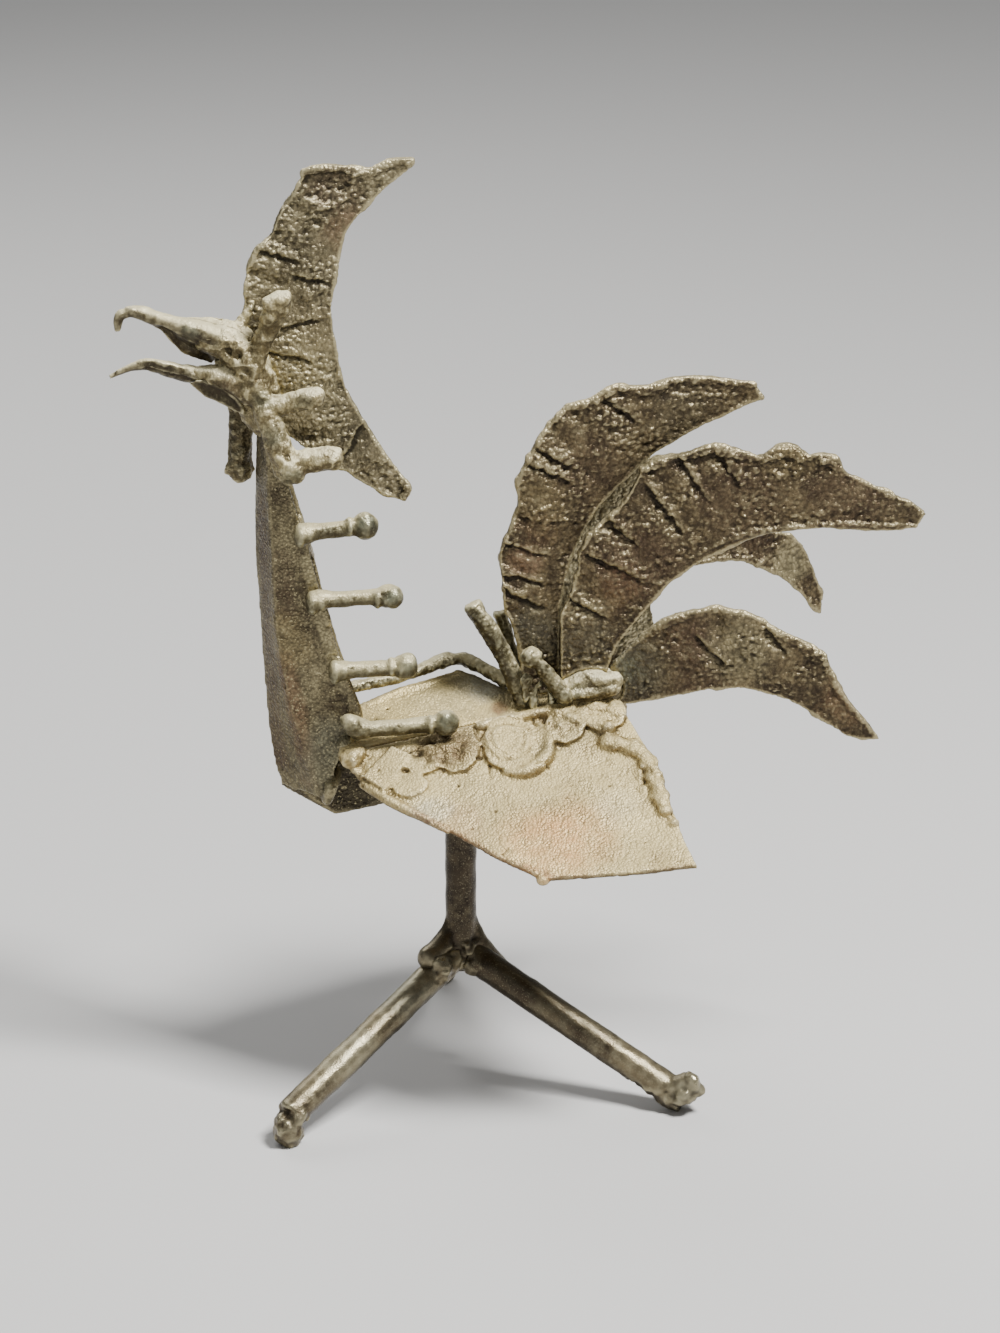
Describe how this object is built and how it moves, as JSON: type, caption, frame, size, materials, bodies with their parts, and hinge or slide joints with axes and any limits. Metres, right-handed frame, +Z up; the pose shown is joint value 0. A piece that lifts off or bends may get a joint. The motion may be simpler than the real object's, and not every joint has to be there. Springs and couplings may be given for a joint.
{
  "type": "scrap metal rooster sculpture",
  "caption": "Small welded scrap steel rooster on a tripod of round bar, with a folded neck, a built-up head, and flame-cut comb and sickle tail plates.",
  "frame": {"origin": "on the floor under the middle of the sculpture's box", "axes": "+Z up, -X the way that the rooster faces, -Y its left side, which the picture shows"},
  "size_m": [0.2006, 0.1114, 0.2415],
  "materials": {
    "bar": "round mild steel bar, silvery with brown heat shade",
    "rod": "thin round rod, pale, with melted ends",
    "neck": "folded sheet, brown heat patina with a fine speckle",
    "feather": "flame-cut plate, hammered and granular, olive brown patina",
    "body_plate": "sheet, dusty cream patina over brown",
    "weld": "pitted weld metal, dusty cream over dark hollows",
    "beak": "folded sheet, worn silvery edges over brown"
  },
  "bodies": {
    "root": {"post": "bar", "leg_front": "bar", "leg_back": "bar", "leg_right": "bar", "neck_sheet": "neck", "neck_spike_1": "rod", "neck_spike_2": "rod", "neck_spike_3": "rod", "neck_spike_4": "rod", "head": "weld", "comb": "feather", "upper_beak": "beak", "lower_beak": "beak", "throat_leaf": "beak", "eye_stud_left": "weld", "eye_stud_right": "weld", "ear_spike": "weld", "wattle_left": "weld", "wattle_right": "weld", "cheek_spike": "weld", "back_plate": "body_plate", "left_wing": "body_plate", "right_wing": "body_plate", "tail_weld": "weld", "tail_top": "feather", "tail_left_upper": "feather", "tail_left_lower": "feather", "tail_right_lower": "feather", "tail_right_upper": "feather", "back_rod": "rod", "tail_stub": "rod", "tail_stub_far": "rod", "tail_pin": "rod", "tail_loop": "rod"}
  },
  "joints": []
}
